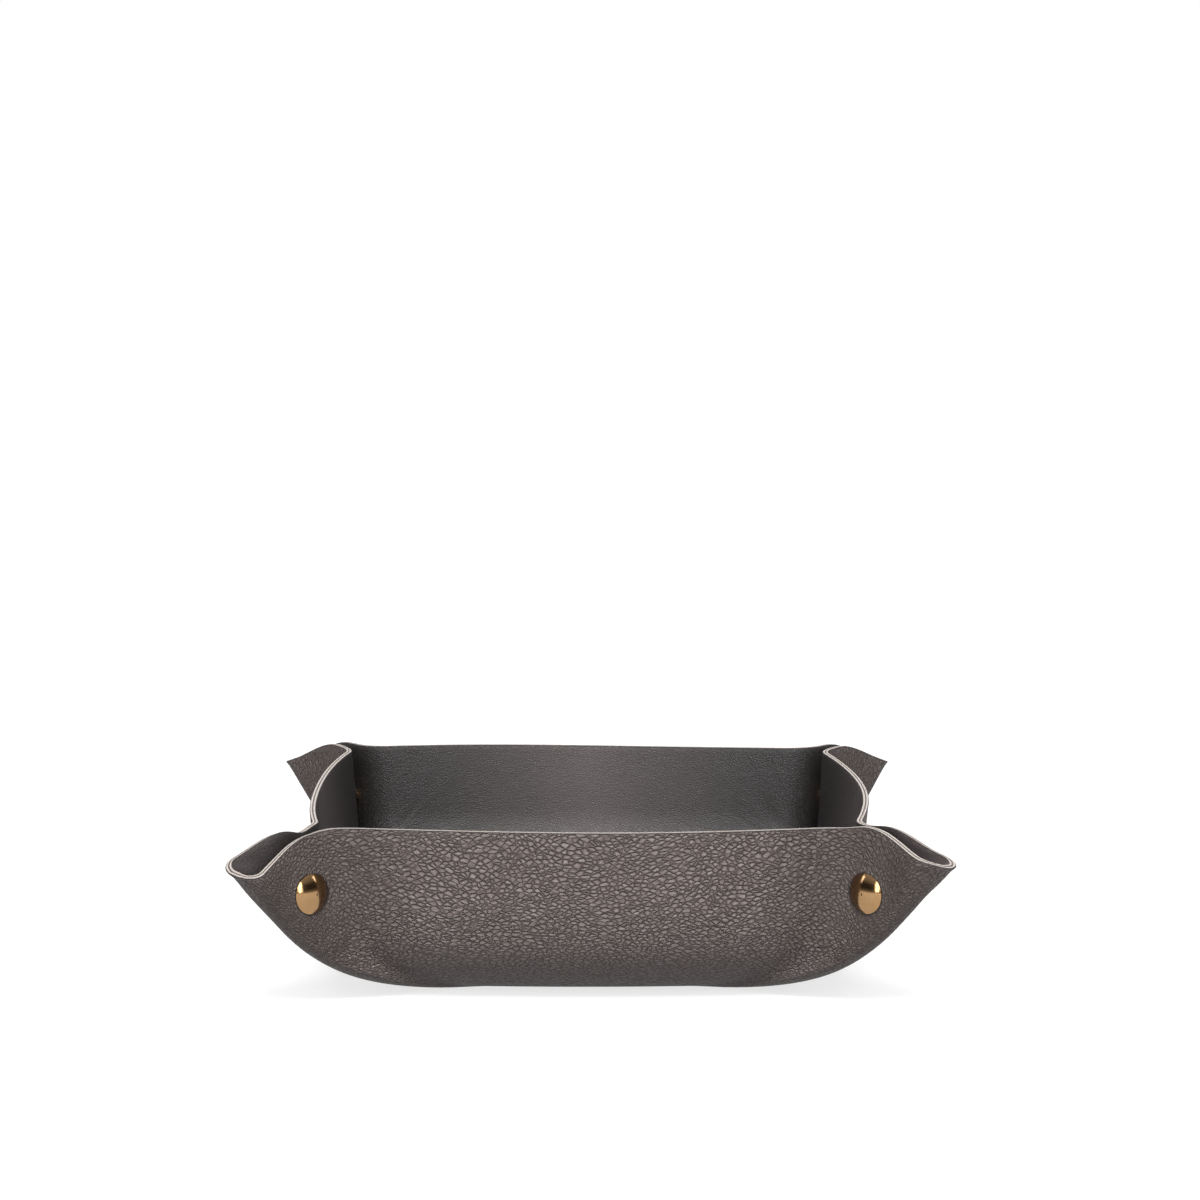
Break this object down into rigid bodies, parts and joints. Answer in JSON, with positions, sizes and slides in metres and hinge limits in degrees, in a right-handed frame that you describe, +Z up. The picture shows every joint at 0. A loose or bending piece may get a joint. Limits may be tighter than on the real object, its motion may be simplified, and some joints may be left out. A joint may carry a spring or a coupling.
{
  "type": "valet tray",
  "caption": "Square leather valet tray with pinched corners held by domed press studs, pebbled outside and smooth inside",
  "frame": {"origin": "on the ground under the middle of the floor", "axes": "Z up, the sides square to X and Y"},
  "size_m": [0.2202, 0.2202, 0.0554],
  "materials": {
    "pebbled_leather": "coarse pebbled grain, satin",
    "smooth_leather": "smooth fine grain, satin",
    "gold_brass": "polished pale gold plate",
    "spring_steel": "drawn spring wire"
  },
  "bodies": {
    "tray": {"outer_leather": "pebbled_leather", "inner_leather": "smooth_leather", "front_left_socket": "gold_brass", "front_left_spring": "spring_steel", "front_left_socket_cap": "gold_brass", "front_right_socket": "gold_brass", "front_right_spring": "spring_steel", "front_right_socket_cap": "gold_brass", "back_left_socket": "gold_brass", "back_left_spring": "spring_steel", "back_left_socket_cap": "gold_brass", "back_right_socket": "gold_brass", "back_right_spring": "spring_steel", "back_right_socket_cap": "gold_brass"},
    "front_left_stud_half": {"front_left_stud": "gold_brass", "front_left_stud_cap": "gold_brass"},
    "front_right_stud_half": {"front_right_stud": "gold_brass", "front_right_stud_cap": "gold_brass"},
    "back_left_stud_half": {"back_left_stud": "gold_brass", "back_left_stud_cap": "gold_brass"},
    "back_right_stud_half": {"back_right_stud": "gold_brass", "back_right_stud_cap": "gold_brass"}
  },
  "joints": [
    {"name": "front_left_unsnap", "type": "slide", "parent": "tray", "child": "front_left_stud_half", "axis": [0.7071, -0.7071, 0], "range_m": [0, 0.008], "deforming": ["outer_leather", "inner_leather", "front_left_spring"]},
    {"name": "front_right_unsnap", "type": "slide", "parent": "tray", "child": "front_right_stud_half", "axis": [-0.7071, -0.7071, 0], "range_m": [0, 0.008], "deforming": ["outer_leather", "inner_leather", "front_right_spring"]},
    {"name": "back_left_unsnap", "type": "slide", "parent": "tray", "child": "back_left_stud_half", "axis": [0.7071, 0.7071, 0], "range_m": [0, 0.008], "deforming": ["outer_leather", "inner_leather", "back_left_spring"]},
    {"name": "back_right_unsnap", "type": "slide", "parent": "tray", "child": "back_right_stud_half", "axis": [-0.7071, 0.7071, 0], "range_m": [0, 0.008], "deforming": ["outer_leather", "inner_leather", "back_right_spring"]}
  ]
}
